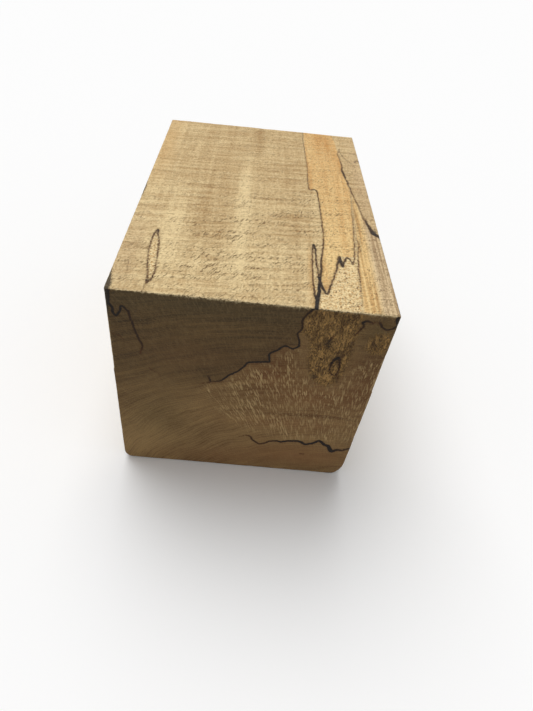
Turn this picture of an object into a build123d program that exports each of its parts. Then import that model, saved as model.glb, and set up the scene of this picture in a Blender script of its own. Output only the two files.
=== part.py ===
"""A hand-sawn hardwood block: a short length cut from a nominal 100 x 100 mm stick.

The grain runs along Y. The front end is cut square. The back end, the right side and
the top were sawn by eye, so each is a degree or two out. Along its bottom right arris
the stick kept the round of the tree, called wane, and its bottom left arris is worn.

Frame: +Z up, +X to the right seen from the front end, +Y away from it. The origin is
the middle of the footprint, on the surface that the block stands on.
"""

import os

from build123d import *

# Overall size, in millimetres
WIDTH = 101.0  # at the widest, where the right side meets the wane
LENGTH = 151.7  # along the right side, which is the longer one
HEIGHT = 98.7  # at the right side, which is the taller one

# How far each hand-sawn face is out of true, measured over the whole face
BACK_SHORTFALL = 4.2  # the left side is this much shorter than the right one
TOP_FALL = 1.5  # the left side is this much lower than the right one
RIGHT_TAPER = 1.9  # the back end is this much narrower than the front one
RIGHT_LEAN = 1.0  # the top is this much narrower than the base

# Arrises
WANE_WIDTH = 4.2  # measured across the base
WANE_HEIGHT = 8.6  # measured up the right side
WANE_ROUND = 6.0
WORN_ROUND = 3.8
SAWN_ROUND = 0.8
BACK_ROUND = 0.5

SAWING_ALLOWANCE = 10.0  # what the rough stick has spare for the sawn faces

left = -WIDTH / 2
right = WIDTH / 2
front = -LENGTH / 2
back = LENGTH / 2

# Each sawn face lies in a plane through its longest edge, with its normal outwards
back_cut = Plane(origin=(right, back, 0), z_dir=(-BACK_SHORTFALL, WIDTH, 0))
top_cut = Plane(origin=(right, 0, HEIGHT), z_dir=(-TOP_FALL, 0, WIDTH))
right_cut = Plane(
    origin=(right, front, WANE_HEIGHT),
    z_dir=(1, RIGHT_TAPER / LENGTH, RIGHT_LEAN / HEIGHT),
)

with BuildPart() as wooden_block:
    # The rough stick, already true on its left side, front end and base
    with BuildSketch():
        with Locations((left, front)):
            Rectangle(
                WIDTH + SAWING_ALLOWANCE,
                LENGTH + SAWING_ALLOWANCE,
                align=(Align.MIN, Align.MIN),
            )
    extrude(amount=HEIGHT + SAWING_ALLOWANCE)

    for cut in (back_cut, top_cut, right_cut):
        split(bisect_by=cut, keep=Keep.BOTTOM)

    # Wane: a flat along the bottom right arris, blended into the base and the side
    base = wooden_block.faces().sort_by(Axis.Z)[0]
    wane_arris = base.edges().sort_by(Axis.X)[-1]
    chamfer(wane_arris, length=WANE_WIDTH, length2=WANE_HEIGHT, reference=base)
    fillet(wooden_block.edges(Select.LAST).sort_by(SortBy.LENGTH)[-2:], radius=WANE_ROUND)

    worn_arris = wooden_block.faces().sort_by(Axis.Z)[0].edges().sort_by(Axis.X)[0]
    fillet(worn_arris, radius=WORN_ROUND)

    top_sides = wooden_block.faces().sort_by(Axis.Z)[-1].edges().sort_by(Axis.X)
    fillet([top_sides[0], top_sides[-1]], radius=SAWN_ROUND)

    # With the long arrises rounded, the outline of each end is one smooth chain
    fillet(wooden_block.faces().sort_by(Axis.Y)[0].edges(), radius=SAWN_ROUND)
    fillet(wooden_block.faces().sort_by(Axis.Y)[-1].edges(), radius=BACK_ROUND)

wooden_block.part.label = "wooden_block"

os.makedirs("parts", exist_ok=True)
export_step(wooden_block.part, "parts/wooden_block.step")
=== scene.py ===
import math
import random
from collections import namedtuple

import bpy
import numpy as np
from mathutils import Matrix, Quaternion, Vector, noise
from mathutils.geometry import delaunay_2d_cdt
from mathutils.kdtree import KDTree


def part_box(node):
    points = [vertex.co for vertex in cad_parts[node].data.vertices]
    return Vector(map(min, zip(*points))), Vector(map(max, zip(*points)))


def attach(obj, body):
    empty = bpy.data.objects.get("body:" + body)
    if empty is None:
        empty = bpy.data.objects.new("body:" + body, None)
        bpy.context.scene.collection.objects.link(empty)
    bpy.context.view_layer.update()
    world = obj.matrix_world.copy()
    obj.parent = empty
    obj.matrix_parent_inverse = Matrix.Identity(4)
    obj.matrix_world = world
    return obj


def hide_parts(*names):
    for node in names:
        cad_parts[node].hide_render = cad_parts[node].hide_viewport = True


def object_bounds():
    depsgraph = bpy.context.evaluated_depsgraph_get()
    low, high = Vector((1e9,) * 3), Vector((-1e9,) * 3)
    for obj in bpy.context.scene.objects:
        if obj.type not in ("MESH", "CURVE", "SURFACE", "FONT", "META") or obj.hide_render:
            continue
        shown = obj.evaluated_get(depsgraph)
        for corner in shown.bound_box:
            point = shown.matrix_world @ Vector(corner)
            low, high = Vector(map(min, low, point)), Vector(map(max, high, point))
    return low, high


# A turning blank of spalted beech, sawn by hand from a 100 mm stick.
#
# The grain runs along Y, so the front and back are end grain. Spalting is the work of
# fungi in the standing or fallen tree: it leaves black zone lines that wander through
# the wood like the borders on a map, and between them honey, cream and grey-brown wood.
#
# All lengths below are millimetres unless a name says otherwise. The piece is built on
# the true box first, and then moved onto the block as it was really sawn.

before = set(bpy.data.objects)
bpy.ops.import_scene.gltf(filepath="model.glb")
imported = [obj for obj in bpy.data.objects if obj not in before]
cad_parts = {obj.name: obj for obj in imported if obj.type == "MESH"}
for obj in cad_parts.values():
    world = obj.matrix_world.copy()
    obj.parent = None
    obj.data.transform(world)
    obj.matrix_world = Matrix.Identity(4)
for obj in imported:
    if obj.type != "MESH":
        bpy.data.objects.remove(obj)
cad_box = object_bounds()
random.seed(7)
noise.seed_set(7)

MM = 0.001
BLOCK = "wooden_block"

# ---------------------------------------------------------------- the block's shape

low, high = (np.array(corner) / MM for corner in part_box(BLOCK))
SKIN = 0.03  # the finished surface stays this far inside the CAD box
LEFT, FRONT, BASE = low + SKIN
RIGHT, BACK, TOP = high - SKIN
WIDTH, LENGTH, HEIGHT = RIGHT - LEFT, BACK - FRONT, TOP - BASE

# How far each hand-sawn face is out of true over its whole length, as in the CAD part
BACK_SHORTFALL = 4.2
TOP_FALL = 1.5
RIGHT_TAPER = 1.9
RIGHT_LEAN = 1.0

# Radii of the four long arrises, across and up: wane, worn arris, two sawn ones
ARRIS_RADII = {
    ("right", "low"): (5.4, 10.0),
    ("left", "low"): (3.8, 4.2),
    ("right", "high"): (0.8, 0.8),
    ("left", "high"): (0.7, 0.7),
}
END_RADIUS = 0.55
UPRIGHT_WEAR = 0.7  # the front end's two uprights are rounder, above this height
UPRIGHT_FROM = 60
UPRIGHT_REACH = 3

Face = namedtuple("Face", "name corner across up axes spacing grain")
X, Y, Z = np.eye(3)

# axes are the two that its lines and patches are given in. spacing is the mesh's.
FACES = (
    Face("top", (LEFT, FRONT, TOP), X, Y, (0, 1), 0.95, "long"),
    Face("front", (LEFT, FRONT, BASE), X, Z, (0, 2), 0.95, "end"),
    Face("right", (RIGHT, FRONT, BASE), Y, Z, (1, 2), 1.3, "long"),
    Face("left", (LEFT, BACK, BASE), -Y, Z, (1, 2), 1.3, "long"),
    Face("back", (RIGHT, BACK, BASE), -X, Z, (0, 2), 1.35, "end"),
    Face("bottom", (LEFT, BACK, BASE), X, -Y, (0, 1), 1.6, "long"),
)


def to_sawn(points):
    """Move points of the true box onto the block with its hand-sawn errors."""
    x, y, z = points.T
    from_right, along, up = (RIGHT - x) / WIDTH, (y - FRONT) / LENGTH, (z - BASE) / HEIGHT
    narrower = (x - LEFT) / WIDTH * (RIGHT_TAPER * along + RIGHT_LEAN * up)
    return np.stack(
        (x - narrower, y - BACK_SHORTFALL * from_right * along, z - TOP_FALL * from_right * up), 1
    )


def from_sawn(points):
    """The reverse of to_sawn, for what is drawn on the real block."""
    x, y, z = points.T
    along, up = (y - FRONT) / LENGTH, (z - BASE) / HEIGHT
    x = LEFT + (x - LEFT) / (1 - (RIGHT_TAPER * along + RIGHT_LEAN * up) / WIDTH)
    from_right = (RIGHT - x) / WIDTH
    y = FRONT + (y - FRONT) / (1 - BACK_SHORTFALL * from_right / LENGTH)
    z = BASE + (z - BASE) / (1 - TOP_FALL * from_right / HEIGHT)
    return np.stack((x, y, z), 1)


# ---------------------------------------------------------------- zone lines

# A line has its points, and its width and darkness spread evenly along it. Darkness 1 is
# black, and 0.3 is a faint brown line.
Line = namedtuple("Line", "points widths tones")

LINES = {
    "top": (
        # The main line, from the back to the front end, with a hook halfway
        Line(
            ((19.9, 76), (19.6, 62), (20.2, 50), (20.8, 30), (20.5, 17), (20.9, 8.6), (22, 9.1),
             (23.5, 9.4), (24.5, 7.5), (24.8, -2), (25.1, -19), (25.2, -29), (24.5, -38),
             (23.4, -46), (22.8, -54), (21.9, -61), (21.6, -65), (20.9, -70), (20.4, -73.5),
             (20.2, -76)),
            (0.35, 0.35, 0.35, 0.6, 0.4, 0.45, 0.5, 0.8, 1.2, 1.1),
            (0.55, 0.6, 0.65, 1, 0.85, 0.7, 0.85, 1, 1, 1),
        ),
        # A narrow tongue beside it
        Line(
            ((20.4, -71), (19.9, -67), (19.7, -60), (19.9, -49), (20.3, -40.5), (20.8, -36.5),
             (21.4, -40.5), (21.4, -49), (21.9, -57), (21.8, -63)),
            (0.9, 0.5, 0.4, 0.4, 0.8, 0.5, 0.4, 0.7),
            (1, 0.85, 0.8, 0.8, 1, 0.9, 0.85, 0.95),
        ),
        # A valley and two peaks, and then the right border of the honey wood
        Line(
            ((21.9, -57.5), (22.6, -62), (23.6, -66.3), (24.5, -67), (25.6, -63), (27.3, -57.5),
             (28.8, -51.5), (29.8, -46.5), (30.4, -43), (31.2, -49.5), (32, -47), (33.6, -43),
             (34.8, -45), (35.2, -47.5), (36.4, -42.5), (37.2, -35), (37.7, -27), (38.5, -17),
             (38.8, -8), (39.3, 0)),
            (0.9, 0.8, 0.6, 0.45, 0.8, 0.9, 0.6, 0.5, 0.45, 0.4, 0.35, 0.3),
            (1, 0.95, 0.9, 0.8, 0.9, 0.95, 0.9, 0.85, 0.75, 0.7, 0.6, 0.3),
        ),
        Line(((39.3, 0), (39.7, 5), (39.9, 15), (39.2, 24)), (0.5,), (0.3, 0.25, 0.1)),
        # The long line that leaves over the right arris
        Line(
            ((38.5, 57.5), (37.9, 54), (37.1, 50.5), (37.8, 45), (38.2, 37), (37.9, 33),
             (38.6, 27), (39.7, 18), (40.8, 8), (42.3, -2), (43.1, -10), (44.6, -17),
             (45.8, -23), (47, -24.5), (49.6, -26.5)),
            (0.8, 0.5, 0.45, 0.6, 0.85, 0.6, 0.5, 0.5, 1.2, 1.8, 1.6),
            (0.6, 0.6, 0.6, 0.8, 0.95, 0.85, 0.7, 0.65, 0.9, 1, 0.95),
        ),
        Line(((38.4, 56), (39.3, 50), (41.2, 45), (43.3, 41.5), (44.4, 39.5)), (0.4,), (0.55, 0.5, 0.3)),
        Line(((45.2, 42.8), (46, 45), (47, 45.7), (48.4, 44)), (0.5, 0.6), (0.5, 0.75, 0.8)),
        Line(((39.5, 53), (43.5, 53.6), (48.2, 52.4)), (0.9,), (0.3, 0.35, 0.5)),
        # Dotted brown lines in the striped wood beside the honey wood
        Line(
            ((38.7, -28.5), (39.2, -33.5), (38.2, -39), (37.7, -45), (37, -52), (37.1, -57),
             (36.7, -65), (36.2, -71)),
            (0.45,), (0.5, 0.65, 0.7, 0.75, 0.75, 0.6, 0.35),
        ),
        Line(((40.2, -5), (39.9, -25), (39.9, -35), (39, -45)), (0.5,), (0.35, 0.45, 0.4, 0.15)),
        # The closed loop near the front left corner
        Line(
            ((-37.9, -76), (-37.3, -71), (-37.8, -66), (-38.9, -60), (-39.7, -53), (-40.2, -45),
             (-39.9, -39.8), (-39.2, -37.2), (-38.4, -41), (-37.4, -45), (-36.6, -52),
             (-36, -60), (-35.6, -65), (-36.3, -68.7), (-37.3, -70.6)),
            (0.3, 0.6, 0.4, 0.4, 0.5, 0.65, 0.5, 0.45, 0.4, 0.5, 0.8),
            (0.35, 0.8, 0.75, 0.75, 0.8, 0.95, 0.8, 0.75, 0.7, 0.8, 0.8),
        ),
        Line(((-46.7, -23.5), (-46.9, -27), (-47.2, -30)), (0.35,), (0.35,)),
        Line(((-45.7, -59), (-44.8, -65), (-45, -68)), (0.4,), (0.45,)),
        Line(((-39.5, 73), (-40.5, 50), (-41, 30), (-40.5, 15), (-39.3, 0), (-38.4, -8)), (0.5,),
             (0.05, 0.15, 0.2, 0.17, 0.08)),
    ),
    "front": (
        # Down from the stained corner, a small tooth, and a long tail
        Line(
            ((-48.8, 97.4), (-49, 94), (-49.2, 91.4), (-48.2, 89.5), (-48, 86.8), (-47, 85.7),
             (-45.9, 87.4), (-45, 90.1), (-44, 90), (-42.7, 87.8), (-41.8, 83.2), (-40.6, 77.9),
             (-39, 73.3), (-38.8, 71.8), (-39.5, 69.6), (-40, 68)),
            (1.1, 0.9, 0.75, 0.7, 0.7, 0.6, 0.6, 0.55, 0.4),
            (1, 1, 1, 1, 1, 0.95, 0.95, 0.9, 0.5),
        ),
        Line(((-49.5, 77.2), (-46.5, 76.2), (-45.3, 74.5), (-44.9, 73.2)), (0.5,), (0.55, 0.4)),
        Line(((-36.8, 61.1), (-35.4, 59.5), (-33.8, 58.9), (-32.7, 57.5)), (0.5,), (0.55, 0.4)),
        # The main line, from the top arris down to the left
        Line(
            ((20.3, 98.6), (19.3, 98), (17.6, 95.6), (16.5, 92.6), (16.8, 88.9), (15.8, 86),
             (16.9, 82.5), (17.1, 80), (15.2, 78.7), (12.8, 79.6), (11.5, 79.3), (9.8, 77.2),
             (7.5, 75.2), (7.2, 74), (7.7, 70.9), (5, 70.3), (0.4, 69.6), (-0.9, 67.8),
             (-3.1, 64.6), (-7, 61.1), (-9.2, 58), (-13.4, 56.4), (-17.7, 55)),
            (0.9, 0.6, 0.55, 0.6, 0.55, 0.6, 0.6, 0.7, 0.6, 0.6, 0.4),
            (1, 0.95, 0.95, 1, 1, 1, 1, 1, 1, 1, 0.7),
        ),
        Line(((-14.5, 59.6), (-13.8, 57.9), (-13.5, 56.6)), (0.6,), (0.9, 1)),
        # Along the top of the right corner
        Line(
            ((48.4, 98.4), (48.3, 96.7), (48.9, 94.4), (47.4, 92.7), (45.7, 92.2), (44.2, 93),
             (42.8, 95), (41.6, 95.2), (40.5, 94.5), (38.3, 95.2), (37, 94.4), (37.6, 92.6),
             (36.8, 90.2), (35.7, 88)),
            (1, 0.8, 0.6, 0.6, 0.7, 0.5, 0.7, 0.8, 0.55, 0.5),
            (1, 1, 0.95, 0.95, 0.95, 0.6, 0.95, 1, 0.85, 0.6),
        ),
        # The small loop in the crumbly wood
        Line(
            ((34.8, 63), (34.5, 66.3), (33.3, 67), (31.9, 67.2), (30.6, 69.3), (30.4, 72.2),
             (31.2, 75), (32.4, 76.4), (33.2, 75), (34, 71.5), (33.9, 68.9), (33.4, 67.2)),
            (0.3, 0.5, 0.5, 0.5, 0.8, 1.1, 0.6, 0.5, 0.5),
            (0.4, 0.8, 0.85, 0.85, 0.95, 1, 0.9, 0.85, 0.8),
        ),
        # The thick line across the lower right
        Line(
            ((0.5, 23), (3.4, 24.3), (5, 23.7), (6.5, 21.1), (9.6, 18.6), (12.2, 19.8),
             (13.9, 21.1), (17.2, 22), (19.1, 21.5), (22, 22.8), (26.9, 23.3), (29.4, 21.3),
             (31.5, 22), (33.2, 22.8), (35.5, 24.9), (38, 22.5), (40.2, 21.4), (42.2, 17.9),
             (44.5, 19.2), (46.9, 19.3), (50.6, 21.6)),
            (0.4, 0.6, 0.7, 0.7, 0.8, 0.95, 1, 1.15, 1.05, 1.2, 1.4, 1.9, 1.1, 0.95),
            (0.5, 0.85, 0.9, 0.9, 0.95, 1, 1, 1, 1, 1, 1, 1, 0.95, 0.9),
        ),
        Line(((28.7, 86.9), (27.9, 85.4), (27.2, 83.7)), (0.9, 0.6), (0.65, 0.5)),
        Line(((26.9, 82.1), (26.1, 80.9)), (1.2,), (0.45,)),
        Line(((31, 93), (30.2, 89.3)), (0.4,), (0.4,)),
        Line(((28.7, 13.7), (30.4, 13.9)), (0.8,), (0.6,)),
        # A row of rust-brown pits along one ring
        Line(((2, 39.5), (10, 40.4), (17, 40.9), (26, 41.6), (35, 42), (43, 41.4), (49, 40.8)),
             (1.0, 1.2, 1.8, 1.6, 1.2), (0.25, 0.4, 0.55, 0.55, 0.35)),
        Line(((22, 44.6), (30, 44.9), (40, 44.2)), (1.2,), (0.25, 0.4, 0.25)),
    ),
    "right": (
        Line(
            ((-76, 21.6), (-70, 22.5), (-62, 20.2), (-50, 21), (-38, 24.5), (-25, 26), (-10, 24.3),
             (4, 27), (18, 31), (27, 30.2), (33, 33.5), (30, 37.5), (17, 38.6), (2, 36.5),
             (-14, 38.8), (-30, 41), (-44, 39.8), (-52, 42.5), (-49, 46.5), (-36, 47.8)),
            (0.7, 0.6, 0.5, 0.6, 0.8, 0.5, 0.45, 0.4), (0.9, 0.9, 0.85, 0.9, 1, 0.85, 0.8, 0.4),
        ),
        Line(
            ((-26.5, 98.7), (-27.6, 95), (-24, 91), (-12, 88.5), (5, 87.8), (22, 90), (34, 92.6),
             (41, 96), (44, 98.7)),
            (1.2, 0.8, 0.5, 0.45, 0.5, 0.6), (0.95, 0.9, 0.8, 0.8, 0.75, 0.8),
        ),
        Line(((-76, 94.4), (-70, 93.2), (-60, 94.6), (-55, 98.7)), (0.6,), (0.85, 0.8)),
        Line(((76, 23), (66, 24.5), (55, 23.2), (47, 25.4)), (0.5, 0.35), (0.8, 0.4)),
    ),
    "left": (
        Line(((-76, 91.4), (-71, 90.2), (-64, 92), (-57, 97.3)), (0.6, 0.5), (0.9, 0.8)),
        Line(
            ((-76, 77.2), (-66, 78.8), (-50, 77.4), (-33, 80.6), (-18, 85), (-8, 91.5), (-3, 97.3)),
            (0.4, 0.45, 0.6, 0.9), (0.4, 0.6, 0.8, 1),
        ),
        Line(
            ((20, 30), (34, 27), (50, 29.5), (58, 33), (52, 37), (36, 38.4), (22, 35.5),
             (17, 32.2), (20, 30)),
            (0.45, 0.5, 0.8, 0.45), (0.7, 0.8, 0.95, 0.8),
        ),
    ),
    "back": (
        Line(
            ((19.9, 98.6), (19, 93), (17.4, 88), (18.2, 82), (15, 77.5), (10, 74.8), (8.5, 70.2),
             (2, 67.5), (-3, 62.8), (-9, 57), (-16, 55.4), (-22, 49), (-24, 42)),
            (0.4, 0.5, 0.5, 0.6, 0.5, 0.3), (0.8, 0.85, 0.9, 0.95, 0.9, 0.5),
        ),
        Line(
            ((3, 24), (10, 21.5), (16, 23.6), (24, 22), (33, 25.4), (40, 22), (49.5, 23)),
            (0.35, 0.6, 0.8, 0.7), (0.5, 0.9, 0.95, 0.9),
        ),
        Line(((38.6, 98.6), (39.5, 90), (37.8, 82), (38.6, 76)), (0.4,), (0.5, 0.6, 0.3)),
    ),
    "bottom": (
        Line(
            ((8, 10), (10, 30), (9, 52), (12, 64), (15, 50), (14, 28), (11, 8), (8, 10)),
            (0.4, 0.5, 0.8, 0.45), (0.6, 0.7, 0.9, 0.6),
        ),
    ),
}

# ---------------------------------------------------------------- zones between lines

# Outlines of the wood between the lines. A zone's value is how deep a point lies in it.
ZONES = {
    # Honey-coloured wood, sound and slightly brighter
    "honey": {
        "top": (
            ((20, 78), (20.2, 50), (20.8, 30), (20.6, 17), (21, 9), (23.5, 9.4), (24.8, -2),
             (25.1, -19), (24.5, -38), (23.1, -50), (22.2, -57), (23.8, -66.5), (25.6, -63),
             (28.8, -51.5), (30.4, -43), (33.6, -43), (36.4, -42.5), (37.5, -30), (38.8, -8),
             (39.9, 10), (38.2, 37), (37.5, 50), (37, 64), (35, 78)),
        ),
        "back": (((20, 100), (18, 82), (22, 74), (30, 72), (37.8, 80), (39.5, 100)),),
        "right": (
            ((-60, 100), (-24, 91), (5, 88), (22, 90), (44, 100)),
            ((-52, 42), (-44, 40), (2, 37), (30, 37), (33, 33), (18, 31), (-10, 25), (-38, 25),
             (-76, 22), (-76, 40)),
        ),
    },
    # Cream wood, bleached by the rot, inside the loops and at the front end
    "cream": {
        "top": (
            ((21, -78), (21.9, -63), (22.7, -62.5), (23.8, -66.6), (25.6, -63), (28.8, -51.5),
             (30.4, -43), (36.5, -42.5), (38.9, -30), (37.8, -45), (37.1, -55), (36.7, -66),
             (36.4, -78)),
            ((-37.4, -70), (-39.7, -53), (-40, -42), (-39.2, -37.5), (-37.2, -46), (-36, -60),
             (-35.8, -67)),
            ((20.3, -68), (19.8, -52), (20.8, -37), (21.3, -48), (21.6, -62)),
        ),
        "bottom": (((8, 10), (10, 30), (9, 52), (12, 64), (15, 50), (14, 28), (11, 8)),),
    },
    # Striped wood beside the honey wood, orange and pale by turns
    "striped": {
        "top": (
            ((36.3, -80), (37, -55), (38.2, -38), (39.3, -20), (39.9, 0), (40.6, 10), (41.6, 0),
             (43.3, -12), (45.8, -24), (52, -28), (52, -80)),
        ),
    },
    # Where the end grain shows its rays as light flecks
    "rayed": {
        "front": (
            ((-19, 53), (-9, 56), (-1, 66), (7, 70), (12, 76), (17, 79), (22, 68), (28, 61),
             (34, 61), (38, 70), (43, 78), (60, 76), (60, 22), (34, 25), (20, 23), (4, 27),
             (-6, 35), (-12, 43)),
        ),
        "back": (((-19, 50), (8, 70), (20, 78), (40, 76), (45, 24), (10, 24), (-8, 34)),),
    },
    # Soft, spongy wood that the saw tore into pits
    "spongy": {
        "front": (
            ((19, 100), (17, 92), (17.2, 86.5), (20, 84), (21.5, 79), (21.5, 72), (23.5, 66),
             (26.5, 62.5), (31, 60), (34.5, 63), (36.5, 70), (37, 80), (36.5, 88), (37.5, 100)),
            ((41, 82), (44, 79.5), (48, 80.5), (50, 86), (47.5, 90.5), (43, 90), (41, 86.5)),
        ),
        "back": (((22, 96), (21, 86), (25, 79), (32, 78), (36, 84), (36, 95)),),
    },
    # Grey-brown wood above the main line on the end grain
    "grey": {
        "front": (
            ((-60, 110), (20.3, 110), (20.3, 98.5), (17.6, 95.6), (16.5, 92.6), (16.8, 88.9),
             (15.8, 86), (17.1, 80.5), (12.8, 79.6), (9.8, 77.2), (7.3, 74), (7.7, 70.9),
             (0.4, 69.6), (-3.1, 64.6), (-9.2, 58), (-17.7, 55), (-30, 51), (-80, 48)),
        ),
        "back": (
            ((-60, 110), (19.9, 110), (19, 93), (17.4, 88), (18.2, 82), (15, 77.5), (10, 74.8),
             (8.5, 70.2), (2, 67.5), (-3, 62.8), (-9, 57), (-16, 55.4), (-22, 49), (-80, 45)),
        ),
    },
}

# Soft patches: centre, half widths and strength, in each face's own two directions
PATCHES = {
    # Lighter above 0 and darker below
    "tone": {
        "top": (
            (-34, -34, 5.5, 30, 0.85), (-24, -26, 5, 20, -0.65), (-7, -20, 2.5, 50, 0.9),
            (-9, 5, 3, 14, 0.5), (-18, 30, 8, 22, -0.25),
            (12, 0, 7, 60, -0.3), (-46, 5, 5, 45, 0.35), (-5, -50, 60, 34, 0.35),
            (-20, -66, 26, 9, 0.2), (29.5, 70, 1.2, 8, -0.45), (32.5, 58, 1.2, 8, -0.45),
            (35.3, 48, 1.2, 7, -0.4), (37.1, 38, 1.2, 7, -0.4), (47, 30, 2.5, 30, 0.5),
            (8, -62, 12, 12, 0.1), (-3, 64, 3.5, 16, -0.6), (30, -27, 6, 24, 0.5),
            (29, 66, 4, 12, -0.3), (30, 5, 7, 20, 0.25), (46, -50, 3, 10, 0.3),
            (-15, -45, 6, 20, 0.3), (22, 30, 4, 40, 0.4), (-14, 5, 7, 10, -0.2),
            (-45, 50, 6, 20, 0.4), (-37, 40, 6, 24, -0.1), (38, 68, 3, 10, 0.15),
            (21.5, 20, 1.6, 20, -0.8), (29, 66, 5, 14, -0.3), (46.5, -56, 2.6, 14, -0.6),
            (-15, -40, 3.5, 30, -0.4), (50, -55, 1.2, 14, 0.6),
        ),
        "front": (
            (-42, 14, 12, 14, 0.85), (-20, 40, 12, 10, 0.35), (-5, 8, 60, 12, 0.25),
            (16, 30, 34, 16, 0.45), (-8, 3, 12, 4, -0.35), (28, 14, 26, 8, 0.4),
            (0, 96, 50, 3, -0.2), (28, 82, 8, 12, 0.3), (45, 84, 8, 16, -0.6),
            (10, 68, 9, 7, -0.45), (12, 76, 5, 6, -0.3), (-20, 68, 22, 8, 0.1),
            (-46, 80, 5, 16, 0.15), (46, 60, 5, 14, -0.45), (5, 50, 6, 12, -0.2),
            (24, 38, 14, 4, 0.25), (43, 42, 8, 5, 0.3), (-45, 88, 8, 8, -0.35),
            (-46, 74, 6, 12, -0.2),
        ),
        "right": ((-40, 60, 30, 18, 0.3), (30, 60, 40, 12, -0.3), (20, 10, 50, 8, -0.3)),
        "left": ((-30, 55, 40, 14, 0.3), (40, 70, 35, 12, -0.3), (-50, 20, 20, 14, -0.3)),
        "back": ((-30, 20, 18, 16, 0.4), (30, 45, 14, 20, 0.2), (0, 4, 50, 4, -0.4)),
        "bottom": ((-25, 0, 12, 60, -0.3), (20, -20, 14, 50, 0.3)),
    },
    # Oranger above 0 and greyer below
    "warm": {
        "top": (
            (-48, 45, 5, 40, 0.75), (19.3, -58, 1.3, 20, 0.9),
            (46, 20, 4, 50, -0.6), (46, -62, 4, 18, -0.3), (30, 0, 6, 50, 0.2),
            (-47, -50, 5, 28, -0.35),
        ),
        "front": (
            (9, 63, 10, 6, 0.45), (26, 53, 13, 6, 0.4), (12, 76, 5, 7, 0.2),
            (24, 46, 30, 28, 0.35), (-25, 95, 44, 6, -0.6), (-30, 5, 16, 7, 0.2), (-5, 6, 16, 6, 0.5),
            (-36, 32, 14, 14, -0.4), (45, 60, 6, 14, 0.3), (28, 12, 26, 8, 0.8),
            (-22, 70, 22, 8, 0.35), (20, 35, 24, 4, 0.4), (45, 90, 8, 8, -0.6),
        ),
        "right": ((-50, 80, 30, 12, 0.5), (0, 60, 60, 10, -0.2)),
        "left": ((40, 90, 40, 10, 0.6), (-10, 30, 40, 16, -0.3)),
        "back": ((12, 60, 18, 14, 0.5), (-25, 90, 30, 8, -0.5)),
        "bottom": ((0, 40, 30, 30, 0.3),),
    },
    # Long grain that the saw tore as it went
    "torn": {
        "top": (
            (-12, -44, 40, 34, 0.8), (16, -12, 10, 18, 0.8), (30, -5, 8, 40, 0.4),
            (-20, -64, 34, 14, 0.5), (-2, 60, 16, 14, 0.4), (0, 10, 60, 80, 0.25),
        ),
        "right": ((-20, 70, 40, 18, 0.8), (40, 25, 26, 16, 0.7)),
        "left": ((20, 55, 36, 20, 0.8), (-52, 70, 20, 16, 0.7)),
        "bottom": ((-15, 20, 24, 40, 0.9), (25, -40, 16, 24, 0.6)),
    },
    # Fibres that the saw tore up where it came out, over the top arris of the front end; their pale band
    # is partly a painted highlight along that arris
    "fuzz_and_highlight": {
        "top": ((-30, -76, 30, 1.1, 0.9), (15, -76, 26, 1.0, 0.8), (40, -76, 12, 1.0, 0.7)),
        "front": ((-30, 97.4, 30, 0.6, 0.8), (15, 98, 26, 0.6, 0.7), (40, 98.5, 12, 0.6, 0.6)),
    },
    # Old black weathering that the saw left on the arrises
    "stain": {
        "top": (
            (-50.5, -6, 0.9, 7, 1), (-49.8, -74, 1.5, 4, 1.2), (-50.4, -69, 1, 6, 1.0),
            (49.7, -71, 0.8, 7, 1.1), (50, -60, 0.6, 8, 0.8), (20.6, -72, 0.8, 3, 0.7),
            (30.7, -46.5, 0.7, 3, 0.7), (-37.2, -69, 0.8, 1.6, 0.5), (46.6, -22.6, 1.6, 2.6, 0.7),
            (44.4, -15, 0.9, 5, 0.5),
        ),
        "front": (
            (-50, 95, 1.3, 5, 1.1), (-50.3, 88, 0.8, 6, 0.8), (49.6, 95, 0.8, 5, 1.1),
            (50, 88, 0.6, 5, 0.6), (42.3, 17.7, 1.4, 0.8, 0.5), (31.6, 76, 1.1, 1, 0.5),
            (27.2, 83, 2.0, 2.8, 0.62), (43, 96.6, 7, 1.6, 0.4), (25, 65.5, 1.8, 2.6, 0.55),
        ),
        "right": ((-72, 97.5, 6, 1.5, 1), (-60, 98.4, 8, 0.8, 0.8), (-26.5, 98, 3, 1.2, 0.9)),
        "left": ((-6, 97, 7, 1, 1), (-74, 94, 2.4, 5, 1), (60, 97.2, 10, 0.5, 0.6)),
        "back": ((-50.4, 60, 0.6, 20, 0.5),),
        "bottom": ((50, -20, 1, 30, 0.4),),
    },
}

WIGGLE = 0.22  # how far a zone line strays from its path
WIGGLE_REACH = 2.2
JITTER = 0.2  # and the same over a shorter reach
SHORTER = 2.6
LINE_STEP = 0.6
ROUNDNESS = 0.5  # 0 turns sharply at each point, 1 rounds it off


def drawn(face, points):
    """Places drawn on a face, as distances across and up it on the true box."""
    placed = np.tile(np.array(face.corner, float), (len(points), 1))
    placed[:, face.axes] = points
    offset = from_sawn(placed) - face.corner
    return np.stack((offset @ face.across, offset @ face.up), 1)


def smooth_path(points, step):
    """A path through the points, half way from straight to Catmull-Rom, and its shares."""
    padded = np.vstack((2 * points[0] - points[1], points, 2 * points[-1] - points[-2]))
    places, shares = [], []
    for i in range(1, len(padded) - 2):
        a, b, c, d = padded[i - 1 : i + 3]
        count = max(2, int(np.linalg.norm(c - b) / step))
        for t in np.linspace(0, 1, count, endpoint=False):
            curved = 0.5 * t * (c - a + t * (2 * a - 5 * b + 4 * c - d + t * (3 * (b - c) + d - a)))
            places.append(b + ROUNDNESS * curved + (1 - ROUNDNESS) * t * (c - b))
            shares.append((i - 1 + t) / (len(points) - 1))
    places.append(points[-1])
    shares.append(1.0)
    return np.array(places), np.array(shares)


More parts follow.
